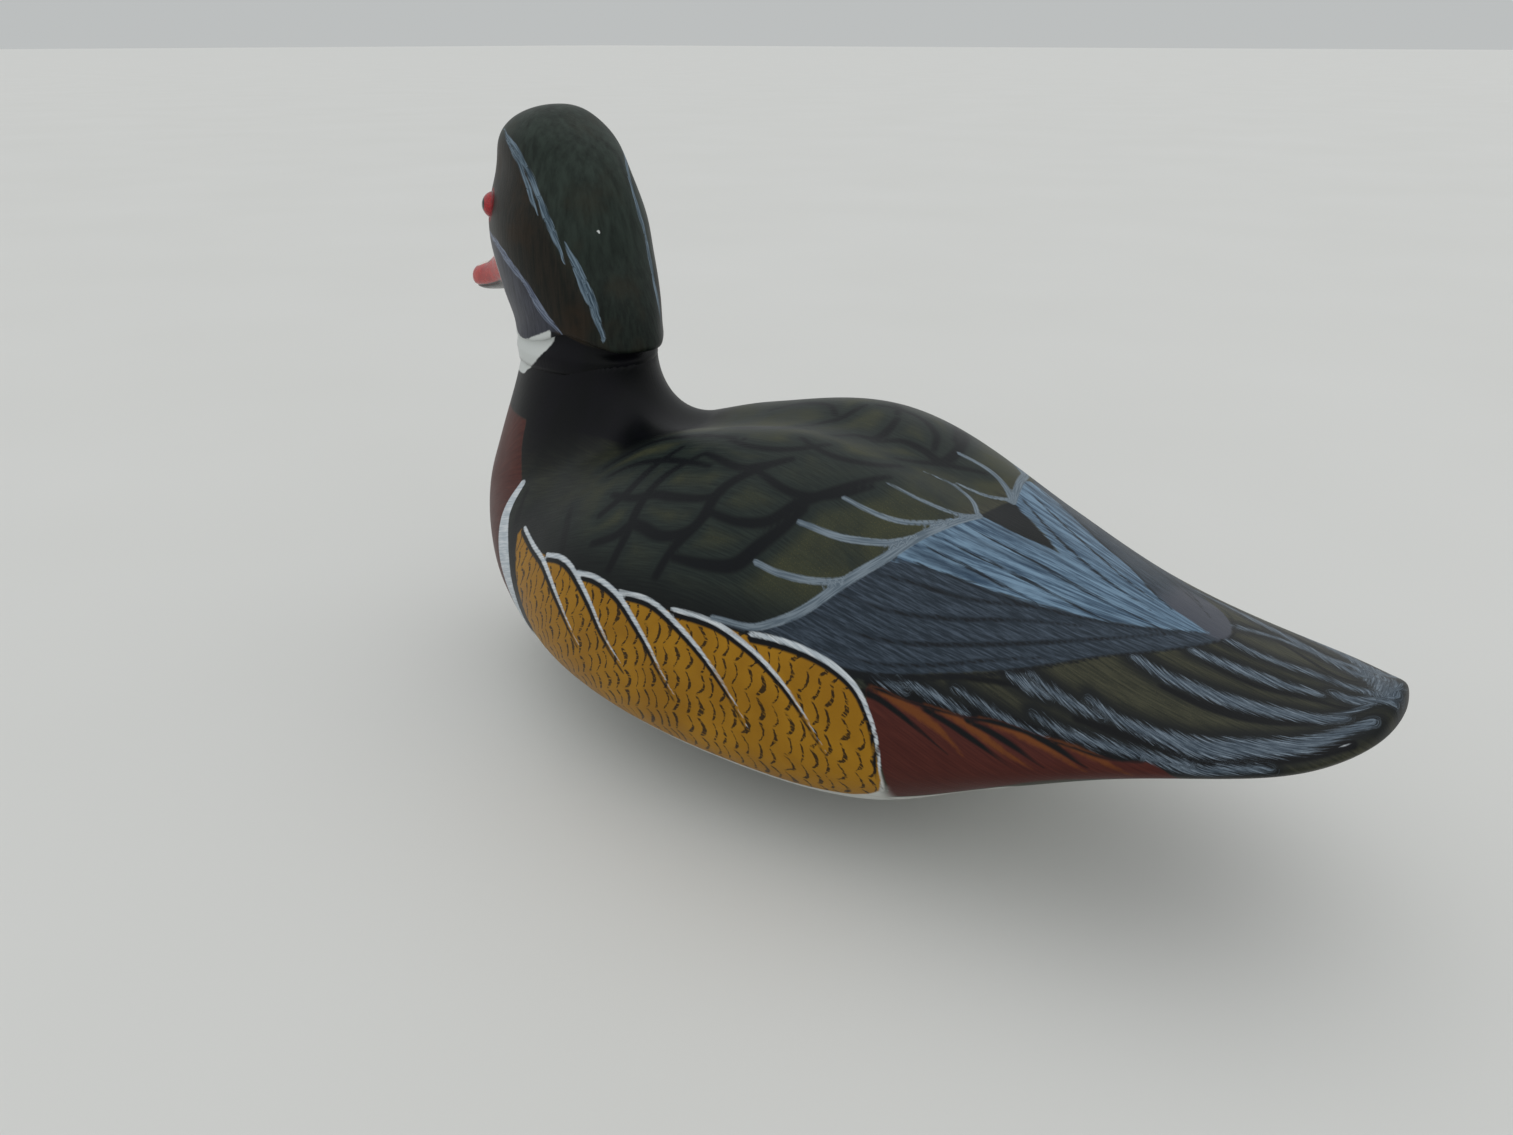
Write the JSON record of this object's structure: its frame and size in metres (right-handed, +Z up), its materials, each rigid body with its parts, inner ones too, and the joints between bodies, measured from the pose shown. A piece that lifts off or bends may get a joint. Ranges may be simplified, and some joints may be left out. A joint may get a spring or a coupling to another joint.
{
  "type": "duck decoy",
  "caption": "Hollow carved wooden drake decoy with a crested head, glass eyes, weighted keel and a ring for the anchor line.",
  "frame": {"origin": "middle of the bounding box in X and Y, at the underside of the keel", "axes": "+Z up, the bill and breast towards -Y and the tail towards +Y, the drake's left towards +X"},
  "size_m": [0.1566, 0.363, 0.2075],
  "materials": {
    "painted_body": "hand-painted, satin",
    "painted_bottom": "hand-painted, matte",
    "painted_head": "hand-painted, satin",
    "painted_keel": "painted, matte",
    "bare_wood": "bare",
    "putty": "matte filler",
    "eye_glass": "polished",
    "steel": "zinc plated",
    "brass": "dull brass",
    "lead": "cast, dull"
  },
  "bodies": {
    "decoy": {"body_shell": "painted_body", "bottom_board": "painted_bottom", "board_screws": "brass", "board_plugs": "painted_bottom", "head": "painted_head", "neck_dowel": "bare_wood", "head_screw": "steel", "head_washer": "steel", "left_eye": "eye_glass", "right_eye": "eye_glass", "left_eye_putty": "putty", "right_eye_putty": "putty", "keel": "painted_keel", "keel_screws": "brass", "keel_washers": "brass", "keel_ballast": "lead", "ballast_screws": "brass", "line_eye": "brass"},
    "line_ring": {"line_ring": "brass"}
  },
  "joints": [
    {"name": "line_ring_swing", "type": "hinge", "parent": "decoy", "child": "line_ring", "pos_m": [0, -0.1286, 0.01597], "axis": [1, 0, 0], "range_deg": [-110, 70]}
  ]
}
